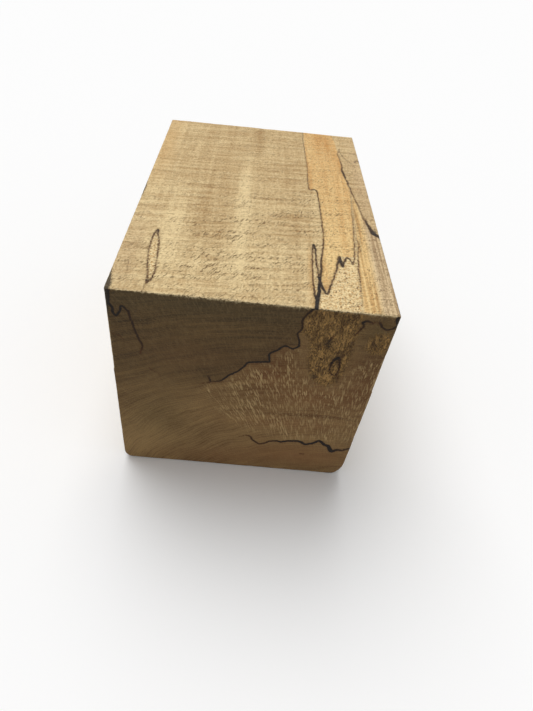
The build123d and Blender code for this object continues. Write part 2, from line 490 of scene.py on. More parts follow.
def lay_line(face, line):
    """A line's path over its face, with its half width and darkness at each place."""
    path, shares = smooth_path(drawn(face, line.points), LINE_STEP)
    size = (abs(face.across) @ (WIDTH, LENGTH, HEIGHT), abs(face.up) @ (WIDTH, LENGTH, HEIGHT))
    for place in path:
        at = Vector((place[0] / WIGGLE_REACH, place[1] / WIGGLE_REACH, line.points[0][0]))
        place += WIGGLE * np.array(noise.noise_vector(at)[:2])
        place += JITTER * np.array(noise.noise_vector(SHORTER * at)[:2])
    path = np.clip(path, 0, size)
    widths = np.interp(shares, np.linspace(0, 1, len(line.widths)), line.widths)
    tones = np.interp(shares, np.linspace(0, 1, len(line.tones)), line.tones)
    return path, widths / 2, tones


def segment_distance(points, starts, ends):
    """Distance from each point to each segment, and how far along it the nearest place is."""
    run = ends - starts
    offset = points[:, None] - starts[None]
    share = np.clip((offset * run).sum(2) / np.maximum((run**2).sum(1), 1e-9), 0, 1)
    return np.linalg.norm(offset - share[..., None] * run, axis=2), share


def line_values(points, laid):
    """Gap from each point to the edge of the nearest line, and that line's darkness."""
    starts = np.vstack([path[:-1] for path, _, _ in laid])
    ends = np.vstack([path[1:] for path, _, _ in laid])
    half = [np.concatenate([h[:-1] for _, h, _ in laid]), np.concatenate([h[1:] for _, h, _ in laid])]
    tone = [np.concatenate([t[:-1] for _, _, t in laid]), np.concatenate([t[1:] for _, _, t in laid])]
    gaps, tones = [], []
    for block in np.array_split(points, max(1, len(points) // 2000)):
        distance, share = segment_distance(block, starts, ends)
        gap = distance - (half[0] + share * (half[1] - half[0]))
        nearest = gap.argmin(1)
        rows = np.arange(len(block))
        gaps.append(gap[rows, nearest])
        at = share[rows, nearest]
        tones.append(tone[0][nearest] + at * (tone[1] - tone[0])[nearest])
    return np.concatenate(gaps), np.concatenate(tones)


def zone_depth(points, outlines, limit=25.0):
    """How deep each point lies inside the outlines, negative outside, within the limit."""
    depth = np.full(len(points), -limit)
    for outline in outlines:
        ends = np.roll(outline, -1, 0)
        distance = segment_distance(points, outline, ends)[0].min(1)
        y = points[:, 1, None]
        spans = (outline[:, 1] > y) != (ends[:, 1] > y)
        rise = ends[:, 1] - outline[:, 1]
        crossing = outline[:, 0] + (y - outline[:, 1]) * (ends[:, 0] - outline[:, 0]) / np.where(
            rise == 0, 1, rise
        )
        inside = (spans & (points[:, 0, None] < crossing)).sum(1) % 2 == 1
        depth = np.maximum(depth, np.where(inside, distance, -distance))
    return np.clip(depth, -limit, limit)


def patch_strength(places, patches):
    """The soft patches' sum at places given in the face's own two directions."""
    total = np.zeros(len(places))
    for a, b, half_a, half_b, strength in patches:
        spread = ((places[:, 0] - a) / half_a) ** 2 + ((places[:, 1] - b) / half_b) ** 2
        total += strength * np.exp(-spread)
    return total


# ---------------------------------------------------------------- the mesh

MOST_POINTS = 60000  # on one face
FILL_FROM = 2.2  # how far in from the arrises the even fill starts
STRAY = 0.15  # how far its points lie off their grid
ARRIS_SPACING = 0.9
ARRIS_ROWS = (0.35, 0.85, 1.5)  # extra rows of points, so that the arrises are round
STATIONS = []
for start, end in zip((LEFT, FRONT, BASE), (RIGHT, BACK, TOP)):
    even = np.linspace(start, end, round((end - start) / ARRIS_SPACING) + 1)[2:-2]
    rows = np.array(ARRIS_ROWS)
    STATIONS.append(np.concatenate(([start], start + rows[:2], even, end - rows[1::-1], [end])))

NAMES = ("end_grain", "line_gap", "line_tone", *ZONES, *PATCHES)


def border_of(face):
    """Points round a face's border, shared with its neighbours, each with a key."""
    points, keys = [], []
    axis_u, axis_v = abs(face.across).argmax(), abs(face.up).argmax()
    fixed = 3 - axis_u - axis_v
    last = [len(stations) - 1 for stations in STATIONS]
    level = 0 if face.corner[fixed] == STATIONS[fixed][0] else last[fixed]
    ring = [(i, 0) for i in range(last[axis_u])]
    ring += [(last[axis_u], j) for j in range(last[axis_v])]
    ring += [(i, last[axis_v]) for i in range(last[axis_u], 0, -1)]
    ring += [(0, j) for j in range(last[axis_v], 0, -1)]
    for i, j in ring:
        key = [0, 0, 0]
        key[axis_u], key[axis_v], key[fixed] = i, j, level
        place = [STATIONS[axis][key[axis]] for axis in range(3)]
        offset = np.array(place) - face.corner
        points.append((offset @ face.across, offset @ face.up))
        keys.append(tuple(key))
    return points, keys


def fill_face(face, laid):
    """Points and triangles over one face: its border, its lines, and an even fill."""
    border, keys = border_of(face)
    size = np.max(border, 0)
    points = list(border)
    edges = [(i, (i + 1) % len(border)) for i in range(len(border))]
    taken = KDTree(MOST_POINTS)
    for i, point in enumerate(border):
        taken.insert((*point, 0), i)
    taken.balance()

    # The lines' spines, which no triangle crosses, and a row on each side of them
    sides = []
    for path, half, _ in laid:
        along = np.gradient(path, axis=0)
        normal = np.stack((-along[:, 1], along[:, 0]), 1)
        normal /= np.maximum(np.linalg.norm(normal, axis=1), 1e-9)[:, None]
        previous = None
        for place in path:
            if taken.find((*place, 0))[2] < 0.2:
                previous = taken.find((*place, 0))[1] if previous is not None else None
                continue
            points.append(tuple(place))
            if previous is not None:
                edges.append((previous, len(points) - 1))
            previous = len(points) - 1
        for sign in (-1, 1):
            sides.extend(path + sign * (half[:, None] + 0.35) * normal)

    rows = []
    for inset in ARRIS_ROWS:
        for a, b in border:
            rows.append((min(max(a, inset), size[0] - inset), min(max(b, inset), size[1] - inset)))

    grid = []
    rise = face.spacing * math.sqrt(3) / 2
    for j in range(int((size[1] - 4) / rise) + 1):
        for i in range(int((size[0] - 4) / face.spacing) + 1):
            a = FILL_FROM + (i + 0.5 * (j % 2)) * face.spacing + random.uniform(-STRAY, STRAY)
            b = FILL_FROM + j * rise + random.uniform(-STRAY, STRAY)
            if a < size[0] - 2 and b < size[1] - 2:
                grid.append((a, b))

    # Each set keeps clear of those before it
    for extra, clear in ((sides, 0.3), (rows, 0.3), (grid, 0.55 * face.spacing)):
        taken = KDTree(len(points))
        for i, point in enumerate(points):
            taken.insert((*point, 0), i)
        taken.balance()
        cells = set()
        for a, b in extra:
            cell = (round(a / clear), round(b / clear))
            inside = 0.1 < a < size[0] - 0.1 and 0.1 < b < size[1] - 0.1
            if inside and cell not in cells and taken.find((a, b, 0))[2] > clear:
                points.append((a, b))
                cells.add(cell)

    result = delaunay_2d_cdt([Vector(p) for p in points], edges, [], 0, 1e-4, True)
    flat = np.array([tuple(v) for v in result[0]])
    face_keys = [next((keys[i] for i in source if i < len(keys)), None) for source in result[3]]
    corners = flat[np.array(result[2])]
    side_a, side_b = corners[:, 1] - corners[:, 0], corners[:, 2] - corners[:, 0]
    area = side_a[:, 0] * side_b[:, 1] - side_a[:, 1] * side_b[:, 0]
    triangles = np.array(result[2])[abs(area) > 1e-3]
    triangles[area[abs(area) > 1e-3] < 0] = triangles[area[abs(area) > 1e-3] < 0][:, ::-1]
    return flat, face_keys, triangles


def face_values(face, flat, places, laid):
    """Every named value at each of a face's points."""
    values = {"end_grain": np.full(len(flat), float(face.grain == "end"))}
    values["line_gap"], values["line_tone"] = line_values(flat, laid)
    for name, outlines in ZONES.items():
        drawn_outlines = [drawn(face, outline) for outline in outlines.get(face.name, ())]
        values[name] = zone_depth(flat, drawn_outlines)
    own = to_sawn(places)[:, face.axes]
    for name, patches in PATCHES.items():
        values[name] = patch_strength(own, patches.get(face.name, ()))
    return np.stack([values[name] for name in NAMES], 1)


def waves(points, scale, stretch=(1, 1, 1), seed=0.0):
    """Smooth noise between about -1 and 1 whose bumps are about as wide as the scale."""
    scaled = points / (np.array(stretch) * scale) + seed
    return np.array([noise.noise(Vector(p)) for p in scaled])


def section_edge(x, z):
    """Depth inside the end outline with its four rounded corners, and the way out of it."""
    across = np.where(x > 0, 1.0, -1.0)
    up = np.where(z > HEIGHT / 2, 1.0, -1.0)
    radii = np.zeros((len(x), 2))
    for (side, level), pair in ARRIS_RADII.items():
        chosen = (across == (1 if side == "right" else -1)) & (up == (1 if level == "high" else -1))
        radii[chosen] = pair
    to_side = np.where(across > 0, RIGHT - x, x - LEFT)
    to_level = np.where(up > 0, TOP - z, z - BASE)
    into = np.maximum(0, 1 - np.stack((to_side, to_level), 1) / radii)
    reach = np.linalg.norm(into, axis=1)
    in_corner = (into > 0).all(1)
    safe = np.maximum(reach, 1e-6)[:, None]
    corner_depth = (1 - reach) * np.linalg.norm(into / safe * radii, axis=1)
    depth = np.where(in_corner, corner_depth, np.minimum(to_side, to_level))
    flat_way = np.where((to_side < to_level)[:, None], (1.0, 0.0), (0.0, 1.0))
    way = np.where(in_corner[:, None], into / radii, flat_way)
    way /= np.linalg.norm(way, axis=1)[:, None]
    return depth, way * np.stack((across, up), 1)


def round_arrises(places):
    """Round the long arrises, then the outline of both ends. Gives places and ways out."""
    x, y, z = places.T.copy()
    depth, way = section_edge(x, z)
    outside = np.minimum(depth, 0)
    x += outside * way[:, 0]
    z += outside * way[:, 1]
    depth = np.maximum(depth, 0)

    wear = waves(places, 9, seed=3.1) + 0.5 * waves(places, 2.5, seed=8.2)
    radius = END_RADIUS * (1 + 0.6 * wear)
    upright = np.exp(-((y - FRONT) ** 2 + (abs(x) - RIGHT) ** 2) / UPRIGHT_REACH**2)
    radius += UPRIGHT_WEAR * upright * (z > UPRIGHT_FROM)
    end_sign = np.where(y > 0, 1.0, -1.0)
    to_end = np.where(y > 0, BACK - y, y - FRONT)
    a = np.clip(1 - depth / radius, 0, 1)
    b = np.clip(1 - to_end / radius, 0, 1)
    reach = np.maximum(np.hypot(a, b), 1)
    new_depth = np.where(a > 0, radius * (1 - a / reach), depth)
    new_end = np.where(b > 0, radius * (1 - b / reach), to_end)
    x -= (new_depth - depth) * way[:, 0]
    z -= (new_depth - depth) * way[:, 1]
    y -= (new_end - to_end) * end_sign
    out = np.stack((way[:, 0] * a, end_sign * b, way[:, 1] * a), 1)
    return np.stack((x, y, z), 1), out


SAW_PITCH = 3.0  # one tooth mark of a coarse bandsaw, fed by hand
SAW_LEAN = 0.1  # how far a saw mark falls back for each millimetre across
SAW_SLOPE = 0.08  # and for each millimetre up
UNEVEN_DEPTH = 0.06
TORN_DEPTH = 0.12
PIT_DEPTH = 0.45
GROOVE_DEPTH = 0.07
NOTCH_DEPTH = 0.35


def relief(places, values):
    """Depth of the marks in each surface: saw marks, torn grain, pits and worn arrises."""
    value = dict(zip(NAMES, values.T))
    long_grain = 1 - value["end_grain"]
    unevenness = UNEVEN_DEPTH * (1 + waves(places, 28, seed=1.7))
    height = places[:, 2]
    travel = places[:, 1] - SAW_LEAN * places[:, 0] - SAW_SLOPE * height
    travel = travel + 0.5 * waves(places, 18, seed=5.5)
    patchy = 0.5 + 0.5 * waves(places, 16, stretch=(1.5, 1, 1), seed=12.0)
    saw = (0.5 + 0.5 * np.sin(travel * 2 * math.pi / SAW_PITCH)) * (0.02 + 0.07 * patchy)
    saw += 0.03 * (0.5 + 0.5 * np.sin(travel * 2 * math.pi / (2 * SAW_PITCH) + 1))
    torn = np.maximum(0, waves(places, 1.3, stretch=(1.6, 0.8, 1), seed=20.0) - 0.15)
    torn *= TORN_DEPTH + TORN_DEPTH * np.clip(value["torn"], 0, 1)
    spongy = np.clip(value["spongy"] / 2 + 0.5, 0, 1)
    pits = np.maximum(0, waves(places, 1.1, seed=31.0)) * PIT_DEPTH * spongy
    groove = GROOVE_DEPTH * np.clip(1 - (value["line_gap"] + 0.1) / 0.35, 0, 1)
    groove = groove * value["line_tone"] ** 2
    notches = np.maximum(0, waves(places, 0.8, stretch=(1, 1.6, 1.6), seed=44.0) - 0.05)
    notches *= NOTCH_DEPTH * np.clip(value["fuzz_and_highlight"], 0, 1)
    return unevenness + long_grain * (saw + torn) + pits + groove + notches


# Where each face lies on the OFBake map, in millimetres
MAP_GAP = 2.0


def map_layout():
    """Six rectangles on one square map: corner of each, and whether it lies turned."""
    wide, long, tall = WIDTH + MAP_GAP, LENGTH + MAP_GAP, HEIGHT + MAP_GAP
    across = max(2 * wide + tall, long + 2 * wide)
    up_side = long + tall
    corners = {
        "top": (0, 0, False),
        "bottom": (wide, 0, False),
        "left": (2 * wide, 0, True),
        "right": (0, long, False),
        "front": (long, long, False),
        "back": (long + wide, long, False),
    }
    return corners, across, up_side


def build_block():
    """The whole block as one closed mesh, with its values as attributes."""
    corners, map_across, map_high = map_layout()
    shared, places, sums, counts = {}, [], [], []
    triangles, map_uv = [], []
    for face in FACES:
        laid = [lay_line(face, line) for line in LINES[face.name]]
        flat, keys, found = fill_face(face, laid)
        on_box = np.array(face.corner) + flat[:, :1] * face.across + flat[:, 1:] * face.up
        values = face_values(face, flat, on_box, laid)
        index = []
        for key, place, value in zip(keys, on_box, values):
            if key is not None and key in shared:
                at = shared[key]
                gap = min(sums[at][1] / counts[at], value[1])
                sums[at] = sums[at] + value
                counts[at] += 1
                sums[at][1] = gap * counts[at]
            else:
                at = len(places)
                places.append(place)
                sums.append(value.copy())
                counts.append(1)
                if key is not None:
                    shared[key] = at
            index.append(at)
        triangles.append(np.array(index)[found])
        aside, below, turned = corners[face.name]
        spot = flat[:, ::-1] if turned else flat
        spot = (spot + (aside + MAP_GAP / 2, below + MAP_GAP / 2)) / (map_across, map_high)
        map_uv.append(spot[found].reshape(-1, 2))

    places = np.array(places)
    values = np.array(sums) / np.array(counts)[:, None]
    rounded, out = round_arrises(places)
    face_way = np.zeros_like(out)
    for axis, (start, end) in enumerate(zip((LEFT, FRONT, BASE), (RIGHT, BACK, TOP))):
        face_way[:, axis] = (places[:, axis] == end).astype(float) - (places[:, axis] == start)
    out = np.where(np.linalg.norm(out, axis=1)[:, None] > 0.3, out, face_way)
    out /= np.maximum(np.linalg.norm(out, axis=1), 1e-6)[:, None]
    rounded -= out * relief(places, values)[:, None]
    sawn = to_sawn(rounded) * MM

    triangles = np.vstack(triangles)
    mesh = bpy.data.meshes.new("block")
    mesh.from_pydata(sawn.tolist(), [], triangles.tolist())
    for name, column in zip(NAMES, values.T):
        mesh.attributes.new(name, "FLOAT", "POINT").data.foreach_set("value", column)
    layer = mesh.uv_layers.new(name="OFBake")
    layer.data.foreach_set("uv", np.vstack(map_uv).astype(np.float32).ravel())
    mesh.shade_smooth()
    mesh.validate()
    piece = bpy.data.objects.new("spalted_block", mesh)
    bpy.context.scene.collection.objects.link(piece)
    return piece


# ---------------------------------------------------------------- materials


def colour(hex_value):
    """An sRGB hex value as the linear colour that a socket takes."""
    channels = [int(hex_value[i : i + 2], 16) / 255 for i in (0, 2, 4)]
    return (*(c / 12.92 if c <= 0.04045 else ((c + 0.055) / 1.055) ** 2.4 for c in channels), 1)


def add(tree, kind, inputs=(), out=0, **settings):
    """Add a node with its settings. inputs gives a socket its value or the socket it reads."""
    node = tree.nodes.new("ShaderNode" + kind)
    for name, value in settings.items():
        setattr(node, name, value)
    for socket, value in dict(inputs).items():
        if isinstance(value, bpy.types.NodeSocket):
            tree.links.new(value, node.inputs[socket])
        else:
            node.inputs[socket].default_value = value
    return node.outputs[out] if node.outputs else None


PITH = (47.0, -60.0)  # the tree's middle, across and up, well below the block
RING_WIDTH = 1.35
FLATTER_FROM = 30.0  # above this height the rings flatten out
ROUND_AT = 120.0  # the distance from the pith at which lengths round it are true

Grain = namedtuple("Grain", "place x y z radius around fine")


def beech_grain(tree):
    """Where a point lies in the tree: its distance from the pith, and its place round it."""
    place = add(tree, "VectorMath", {0: add(tree, "TexCoord", out="Object"), "Scale": 1 / MM},
                operation="SCALE")
    x, y, z = (add(tree, "SeparateXYZ", {0: place}, out=i) for i in range(3))
    bend = add(tree, "VectorMath", {0: place, 1: (1 / 26, 1 / 110, 1 / 26)}, operation="MULTIPLY")
    bend = add(tree, "TexNoise", {"Vector": bend, "Scale": 1.0, "Detail": 2.0})
    bend = add(tree, "Math", {0: bend, 1: 0.5}, operation="SUBTRACT")
    bend = add(tree, "Math", {0: bend, 1: 9.0}, operation="MULTIPLY")
    aside = add(tree, "Math", {0: x, 1: PITH[0]}, operation="SUBTRACT")
    above = add(tree, "Math", {0: z, 1: FLATTER_FROM}, operation="SUBTRACT")
    above = add(tree, "Math", {0: above, 1: 0.0}, operation="MAXIMUM")
    above = add(tree, "Math", {0: above, 1: 2.0}, operation="POWER")
    height = add(tree, "Math", {0: above, 1: 0.008, 2: z}, operation="MULTIPLY_ADD")
    height = add(tree, "Math", {0: height, 1: PITH[1]}, operation="SUBTRACT")
    spoke = add(tree, "CombineXYZ", {"X": aside, "Z": height})
    radius = add(tree, "VectorMath", {0: spoke}, out="Value", operation="LENGTH")
    radius = add(tree, "Math", {0: radius, 1: bend}, operation="ADD")
    plain_height = add(tree, "Math", {0: z, 1: PITH[1]}, operation="SUBTRACT")
    around = add(tree, "Math", {0: aside, 1: plain_height}, operation="ARCTAN2")
    around = add(tree, "Math", {0: around, 1: ROUND_AT}, operation="MULTIPLY")
    fine = add(tree, "CombineXYZ", {"X": around, "Y": y, "Z": radius})
    return Grain(place, x, y, z, radius, around, fine)


def tinted(tree, tone, warm, cool, hex_values):
    """Wood that goes from dark to light with its tone, and redder or greyer in patches."""
    dark, light, warmer, cooler = (colour(hex_value) for hex_value in hex_values)
    wood = add(tree, "Mix", {0: tone, 6: dark, 7: light}, out=2, data_type="RGBA")
    wood = add(tree, "Mix", {0: warm, 6: wood, 7: warmer}, out=2, data_type="RGBA")
    return add(tree, "Mix", {0: cool, 6: wood, 7: cooler}, out=2, data_type="RGBA")


def spalted_beech():
    """Sawn, unfinished beech with spalting: matt, slightly rough, dry to the eye.

    Long grain is pale tan with short dark rays and the saw's marks across it. End grain
    drinks light, so it is browner, with fine rings and light rays that fan out from the
    pith. Zone lines are black-brown. Rotted wood is cream or honey and full of specks.
    """
    material = bpy.data.materials.new("spalted_beech_sawn")
    material.use_nodes = True
    tree = material.node_tree
    tree.nodes.clear()
    grain = beech_grain(tree)
    value = {name: add(tree, "Attribute", out="Fac", attribute_name=name) for name in NAMES}
    end = add(tree, "MapRange", {"Value": value["end_grain"], "From Min": 0.35, "From Max": 0.65})
    speckle = add(tree, "TexNoise", {"Vector": grain.place, "Scale": 1.4, "Detail": 3.0})
    ragged = add(tree, "Math", {0: speckle, 1: 0.5}, operation="SUBTRACT")
    tone = add(tree, "MapRange", {"Value": value["tone"], "From Min": -1.0, "From Max": 1.0})
    warm = add(tree, "MapRange", {"Value": value["warm"], "From Min": 0.0, "From Max": 1.6})
    cool = add(tree, "MapRange", {"Value": value["warm"], "From Min": 0.0, "From Max": -1.6})

    # Rings: years of uneven width, and late wood as a thin darker line
    ring_place = add(tree, "VectorMath", {0: grain.fine, 1: (1 / 30, 1 / 80, 1 / 1.0)},
                     operation="MULTIPLY")
    rings = add(tree, "TexNoise", {"Vector": ring_place, "Scale": 1.0, "Detail": 4.0,
                                   "Roughness": 0.65})
    rings = add(tree, "Math", {0: rings, 1: 0.5}, operation="SUBTRACT")
    band_place = add(tree, "VectorMath", {0: grain.fine, 1: (1 / 22, 1 / 80, 1 / 4.5)},
                     operation="MULTIPLY")
    bands = add(tree, "TexNoise", {"Vector": band_place, "Scale": 1.0, "Detail": 2.0})
    bands = add(tree, "Math", {0: bands, 1: 0.5}, operation="SUBTRACT")
    uneven = add(tree, "TexNoise", {"Vector": grain.place, "Scale": 0.05, "Detail": 1.0})
    year = add(tree, "Math", {0: grain.radius, 1: 1 / RING_WIDTH}, operation="MULTIPLY")
    year = add(tree, "Math", {0: uneven, 1: 5.0, 2: year}, operation="MULTIPLY_ADD")
    year = add(tree, "Math", {0: rings, 1: 1.6, 2: year}, operation="MULTIPLY_ADD")
    year = add(tree, "Math", {0: year}, operation="FRACT")
    late = add(tree, "MapRange", {"Value": year, "From Min": 0.6, "From Max": 0.92},
               interpolation_type="SMOOTHSTEP")
    early = add(tree, "MapRange", {"Value": year, "From Min": 0.92, "From Max": 1.0,
                                   "To Min": 1.0, "To Max": 0.0})
    late = add(tree, "Math", {0: late, 1: early}, operation="MULTIPLY")

    # Rays: thin plates that run out from the pith, 0.4 mm apart, in clusters
    ray_place = add(tree, "VectorMath", {0: grain.fine, 1: (1 / 0.43, 1 / 1.5, 1 / 3.4)},
                    operation="MULTIPLY")
    ray_noise = add(tree, "TexNoise", {"Vector": ray_place, "Scale": 1.0, "Detail": 1.0,
                                       "Roughness": 0.4, "Distortion": 0.2})
    rays = add(tree, "MapRange", {"Value": ray_noise, "From Min": 0.56, "From Max": 0.7},
               interpolation_type="SMOOTHSTEP")
    bright_rays = add(tree, "MapRange", {"Value": ray_noise, "From Min": 0.48, "From Max": 0.68},
                      interpolation_type="SMOOTHSTEP")
    cluster_place = add(tree, "VectorMath", {0: grain.fine, 1: (1 / 5.0, 1 / 30, 1 / 16)},
                        operation="MULTIPLY")
    cluster = add(tree, "TexNoise", {"Vector": cluster_place, "Scale": 1.0, "Detail": 3.0,
                                     "Roughness": 0.6})
    cluster = add(tree, "Math", {0: cluster, 1: 0.5}, operation="SUBTRACT")

    # Saw marks cross the long grain, a few degrees off square: chatter some 4 mm apart,
    # and scratches about 1 mm apart
    travel = add(tree, "Math", {0: grain.x, 1: -SAW_LEAN, 2: grain.y}, operation="MULTIPLY_ADD")
    travel = add(tree, "Math", {0: grain.z, 1: -SAW_SLOPE, 2: travel}, operation="MULTIPLY_ADD")
    saw_place = add(tree, "CombineXYZ", {"X": grain.x, "Y": travel, "Z": grain.z})
    chatter_place = add(tree, "VectorMath", {0: saw_place, 1: (1 / 30, 1 / 1.9, 1 / 30)},
                        operation="MULTIPLY")
    chatter = add(tree, "TexNoise", {"Vector": chatter_place, "Scale": 1.0, "Detail": 2.0,
                                     "Roughness": 0.6})
    chatter = add(tree, "Math", {0: chatter, 1: 0.5}, operation="SUBTRACT")
    scratch_place = add(tree, "VectorMath", {0: saw_place, 1: (1 / 5, 1 / 0.6, 1 / 5)},
                        operation="MULTIPLY")
    scratch = add(tree, "TexNoise", {"Vector": scratch_place, "Scale": 1.0, "Detail": 2.0,
                                     "Roughness": 0.7, "Distortion": 0.2})
    scratch_line = add(tree, "MapRange", {"Value": scratch, "From Min": 0.56, "From Max": 0.68})
    scratch = add(tree, "Math", {0: scratch, 1: 0.5}, operation="SUBTRACT")
    saw = add(tree, "Math", {0: scratch, 1: 0.8, 2: chatter}, operation="MULTIPLY_ADD")

    # Grit: the nap of sawn fibres, 1 to 2 mm apart on long grain, and finer pores
    grit_place = add(tree, "VectorMath", {0: grain.place, 1: (1 / 0.8, 1 / 1.1, 1 / 0.8)},
                     operation="MULTIPLY")
    grit = add(tree, "TexNoise", {"Vector": grit_place, "Scale": 1.0, "Detail": 2.0,
                                  "Roughness": 0.7})
    grit = add(tree, "Math", {0: grit, 1: 0.5}, operation="SUBTRACT")
    pores = add(tree, "TexNoise", {"Vector": grain.place, "Scale": 2.4, "Detail": 2.0,
                                   "Roughness": 0.7})
    pores = add(tree, "Math", {0: pores, 1: 0.5}, operation="SUBTRACT")

    # Torn fibres: short dark ticks that lean across the grain, in rows along the saw's path
    lean = add(tree, "VectorRotate", {"Vector": saw_place, "Angle": math.radians(-55)},
               rotation_type="Z_AXIS")
    torn_place = add(tree, "VectorMath", {0: lean, 1: (1 / 1.9, 1 / 0.55, 1 / 0.9)},
                     operation="MULTIPLY")
    torn = add(tree, "TexNoise", {"Vector": torn_place, "Scale": 1.0, "Detail": 2.0,
                                  "Distortion": 0.6})
    row_place = add(tree, "VectorMath", {0: saw_place, 1: (1 / 24, 1 / 5.0, 1 / 24)},
                    operation="MULTIPLY")
    torn_rows = add(tree, "TexNoise", {"Vector": row_place, "Scale": 1.0, "Detail": 2.0})
    torn_rows = add(tree, "MapRange", {"Value": torn_rows, "From Min": 0.42, "From Max": 0.58,
                                       "To Min": 0.25})
    torn_where = add(tree, "MapRange", {"Value": value["torn"], "To Min": 0.22})
    torn_where = add(tree, "Math", {0: torn_where, 1: torn_rows}, operation="MULTIPLY")
    torn_mask = add(tree, "MapRange", {"Value": torn, "From Min": 0.56, "From Max": 0.67})
    torn_mask = add(tree, "Math", {0: torn_mask, 1: torn_where}, operation="MULTIPLY")

    # Long-grain colour
    streak_place = add(tree, "VectorMath", {0: grain.place, 1: (1 / 2.2, 1 / 60, 1 / 2.2)},
                       operation="MULTIPLY")
    streak = add(tree, "TexNoise", {"Vector": streak_place, "Scale": 1.0, "Detail": 4.0})
    streak = add(tree, "Math", {0: streak, 1: 0.5}, operation="SUBTRACT")
    long_tone = add(tree, "Math", {0: streak, 1: 0.7, 2: tone}, operation="MULTIPLY_ADD")
    long_tone = add(tree, "Math", {0: saw, 1: 1.3, 2: long_tone}, operation="MULTIPLY_ADD")
    long_tone = add(tree, "Math", {0: grit, 1: 1.45, 2: long_tone}, operation="MULTIPLY_ADD")
    long_wood = tinted(tree, long_tone, warm, cool, ("B4905F", "F7DDA8", "DDAE6E", "CBAA86"))

    # Honey, cream and striped zones, with edges that follow the wood's own unevenness
    soft = {}
    for name in ("honey", "cream", "striped"):
        edge = add(tree, "Math", {0: ragged, 1: 1.2, 2: value[name]}, operation="MULTIPLY_ADD")
        soft[name] = add(tree, "MapRange", {"Value": edge, "From Min": -0.15, "From Max": 0.35})
    honey_tone = add(tree, "Math", {0: streak, 1: 1.0, 2: tone}, operation="MULTIPLY_ADD")
    honey_tone = add(tree, "Math", {0: saw, 1: 0.5, 2: honey_tone}, operation="MULTIPLY_ADD")
    honey_tone = add(tree, "Math", {0: grit, 1: 1.5, 2: honey_tone}, operation="MULTIPLY_ADD")
    honey = add(tree, "Mix", {0: honey_tone, 6: colour("D69E5B"), 7: colour("FFDD9C")}, out=2,
                data_type="RGBA")
    long_wood = add(tree, "Mix", {0: soft["honey"], 6: long_wood, 7: honey}, out=2,
                    data_type="RGBA")
    crumb = add(tree, "TexNoise", {"Vector": grain.place, "Scale": 1.1, "Detail": 3.0})
    crumb = add(tree, "MapRange", {"Value": crumb, "From Min": 0.33, "From Max": 0.55})
    cream = add(tree, "Mix", {0: crumb, 6: colour("D0A265"), 7: colour("FFE6B0")}, out=2,
                data_type="RGBA")
    long_wood = add(tree, "Mix", {0: soft["cream"], 6: long_wood, 7: cream}, out=2,
                    data_type="RGBA")
    stripe_place = add(tree, "VectorMath", {0: grain.place, 1: (1 / 0.9, 1 / 40, 1 / 0.9)},
                       operation="MULTIPLY")
    stripe = add(tree, "TexNoise", {"Vector": stripe_place, "Scale": 1.0, "Detail": 2.0})
    stripe = add(tree, "Math", {0: grit, 1: 0.5, 2: stripe}, operation="MULTIPLY_ADD")
    stripe = add(tree, "MapRange", {"Value": stripe, "From Min": 0.32, "From Max": 0.62})
    to_right = add(tree, "MapRange", {"Value": grain.x, "From Min": 41.5, "From Max": 44.0})
    dark_stripe = add(tree, "Mix", {0: to_right, 6: colour("D0A062"), 7: colour("B5966F")},
                      out=2, data_type="RGBA")
    pale_stripe = add(tree, "Mix", {0: to_right, 6: colour("FAD797"), 7: colour("EACFA2")},
                      out=2, data_type="RGBA")
    striped = add(tree, "Mix", {0: stripe, 6: dark_stripe, 7: pale_stripe}, out=2,
                  data_type="RGBA")
    long_wood = add(tree, "Mix", {0: soft["striped"], 6: long_wood, 7: striped}, out=2,
                    data_type="RGBA")

    # Short dark rays, saw scratches and torn fibres on the long grain
    marks = add(tree, "Math", {0: rays, 1: 0.2}, operation="MULTIPLY")
    marks = add(tree, "Math", {0: scratch_line, 1: 0.34, 2: marks}, operation="MULTIPLY_ADD")
    marks = add(tree, "Math", {0: torn_mask, 1: 0.85, 2: marks}, operation="MULTIPLY_ADD")
    long_wood = add(tree, "Mix", {0: marks, 6: long_wood, 7: colour("84633C")}, out=2,
                    data_type="RGBA")

    # Brown specks where the wood is rotted, and between the right-hand lines
    right_strip = add(tree, "MapRange", {"Value": grain.x, "From Min": 37.5, "From Max": 39.5,
                                         "To Max": 0.7})
    rotted = add(tree, "Math", {0: soft["honey"], 1: 0.55, 2: soft["cream"]},
                 operation="MULTIPLY_ADD")
    rotted = add(tree, "Math", {0: rotted, 1: right_strip}, operation="MAXIMUM")
    speck_place = add(tree, "VectorMath", {0: grain.place, 1: (1 / 0.7, 1 / 1.0, 1 / 0.7)},
                      operation="MULTIPLY")
    specks = add(tree, "TexNoise", {"Vector": speck_place, "Scale": 1.0, "Detail": 1.0,
                                    "Distortion": 0.8})
    specks = add(tree, "MapRange", {"Value": specks, "From Min": 0.6, "From Max": 0.69})
    specks = add(tree, "Math", {0: specks, 1: rotted}, operation="MULTIPLY")
    specks = add(tree, "Math", {0: specks, 1: 0.85}, operation="MULTIPLY")
    long_wood = add(tree, "Mix", {0: specks, 6: long_wood, 7: colour("6E4B2A")}, out=2,
                    data_type="RGBA")

    # End-grain colour
    end_tone = add(tree, "Math", {0: late, 1: -0.22, 2: tone}, operation="MULTIPLY_ADD")
    end_tone = add(tree, "Math", {0: rings, 1: 1.1, 2: end_tone}, operation="MULTIPLY_ADD")
    end_tone = add(tree, "Math", {0: bands, 1: 0.9, 2: end_tone}, operation="MULTIPLY_ADD")
    end_tone = add(tree, "Math", {0: pores, 1: 1.1, 2: end_tone}, operation="MULTIPLY_ADD")
    end_wood = tinted(tree, end_tone, warm, cool, ("6A4C2E", "C09C69", "98623C", "70643E"))

